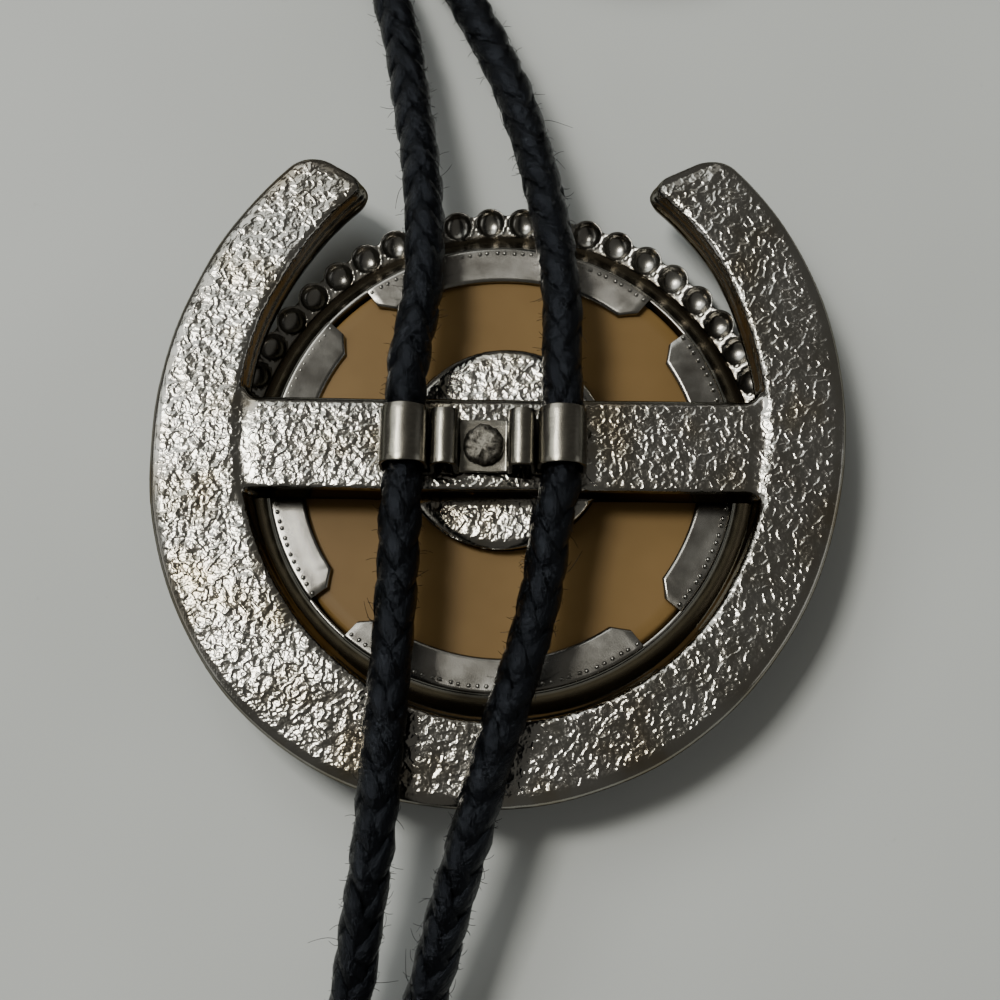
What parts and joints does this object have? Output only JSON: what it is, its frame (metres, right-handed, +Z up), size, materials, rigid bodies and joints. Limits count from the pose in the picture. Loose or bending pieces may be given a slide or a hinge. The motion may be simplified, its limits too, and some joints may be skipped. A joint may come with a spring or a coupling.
{
  "type": "bolo tie",
  "caption": "Bolo tie lying face down: cast horseshoe slide with a set round disc, a bent clip on its back, and a long black cord with plain metal tips.",
  "frame": {"origin": "on the floor under the middle of the horseshoe's outline", "axes": "+Z up, out of the back of the slide; +Y towards the horseshoe's open end; +X to the right as seen from the back"},
  "size_m": [0.0631, 0.2538, 0.013],
  "materials": {
    "silver_plated_casting": "cast with a crumpled skin and plated bright silver, a little worn to a warm brown",
    "nickel_plated_sheet": "stamped sheet metal with a satin nickel plating",
    "tan_resin": "smooth tan resin with a soft shine",
    "satin_steel_strip": "bent steel strip with a satin plating",
    "rough_rivet_steel": "rough hammered rivet head",
    "black_waxed_braid": "tight black braid with a waxed shine and a few loose fibres",
    "bright_plated_tip": "plain turned metal with a bright plating"
  },
  "bodies": {
    "root": {"horseshoe": "silver_plated_casting", "bezel": "nickel_plated_sheet", "insert_disc": "tan_resin", "clip": "satin_steel_strip", "rivet": "rough_rivet_steel", "cord_neck_loop": "black_waxed_braid", "cord_end_left": "black_waxed_braid", "cord_end_right": "black_waxed_braid", "tip_left": "bright_plated_tip", "tip_right": "bright_plated_tip"}
  },
  "joints": []
}
